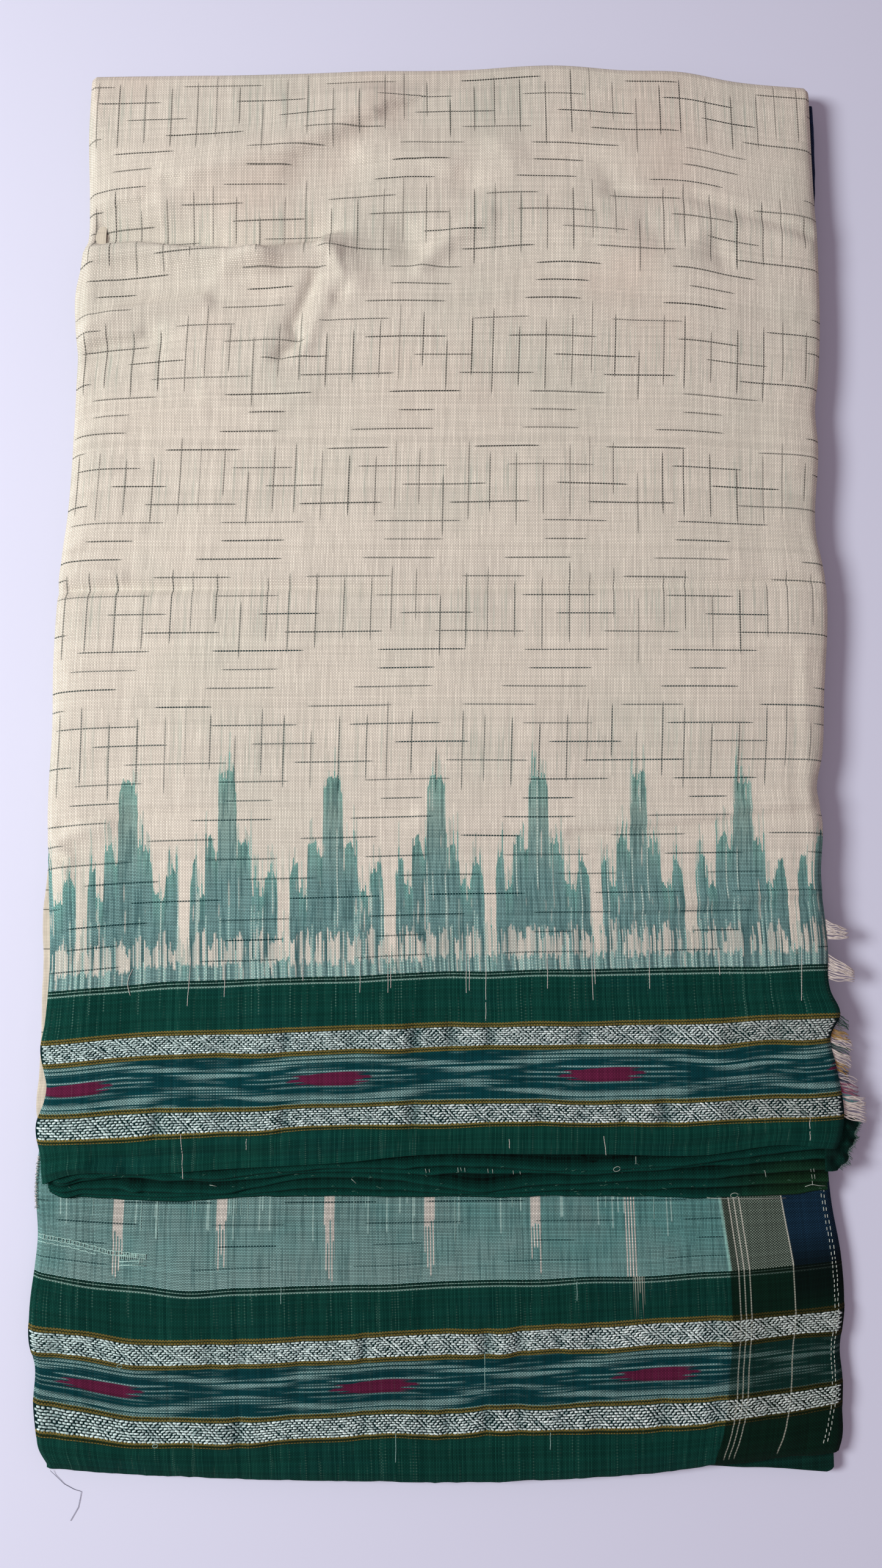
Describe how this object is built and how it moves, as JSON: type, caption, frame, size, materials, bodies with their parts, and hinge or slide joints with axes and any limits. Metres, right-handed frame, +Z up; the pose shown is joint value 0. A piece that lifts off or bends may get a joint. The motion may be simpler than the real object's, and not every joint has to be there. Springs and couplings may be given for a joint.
{
  "type": "folded sari",
  "caption": "Cotton sari folded into a flat pack for the shelf, both borders showing, with an ikat field, dobby bands and a short fringe at one side.",
  "frame": {"origin": "centre of the pack's underside, on the table", "axes": "+X along the sari's length, to the side with the fringe; +Y across its width, from the near selvedge to the far fold; +Z up"},
  "size_m": [0.3608, 0.649, 0.0201],
  "materials": {
    "cream_ikat_cotton": "matte plain weave with ikat-dyed threads",
    "border_cotton": "plain weave in teal and green with raised dobby bands",
    "selvedge_green": "matte dark green cotton",
    "navy_end": "matte navy cotton",
    "undyed_thread": "undyed cotton thread",
    "border_thread": "dyed cotton thread in the border's colours",
    "stacked_cotton": "folded edges of the layers"
  },
  "bodies": {
    "root": {"top_stretch": "cream_ikat_cotton", "lower_stretch": "border_cotton", "under_stretch": "cream_ikat_cotton", "hidden_layers": "stacked_cotton", "mid_selvedge_1": "selvedge_green", "mid_selvedge_2": "selvedge_green", "mid_selvedge_3": "selvedge_green", "mid_selvedge_4": "selvedge_green", "mid_selvedge_5": "selvedge_green", "left_fold": "cream_ikat_cotton", "end_hem": "navy_end", "bottom_edge_layer": "selvedge_green", "torn_corner": "selvedge_green", "end_tuft_upper": "undyed_thread", "end_tuft_lower": "undyed_thread", "end_fringe": "border_thread"}
  },
  "joints": []
}
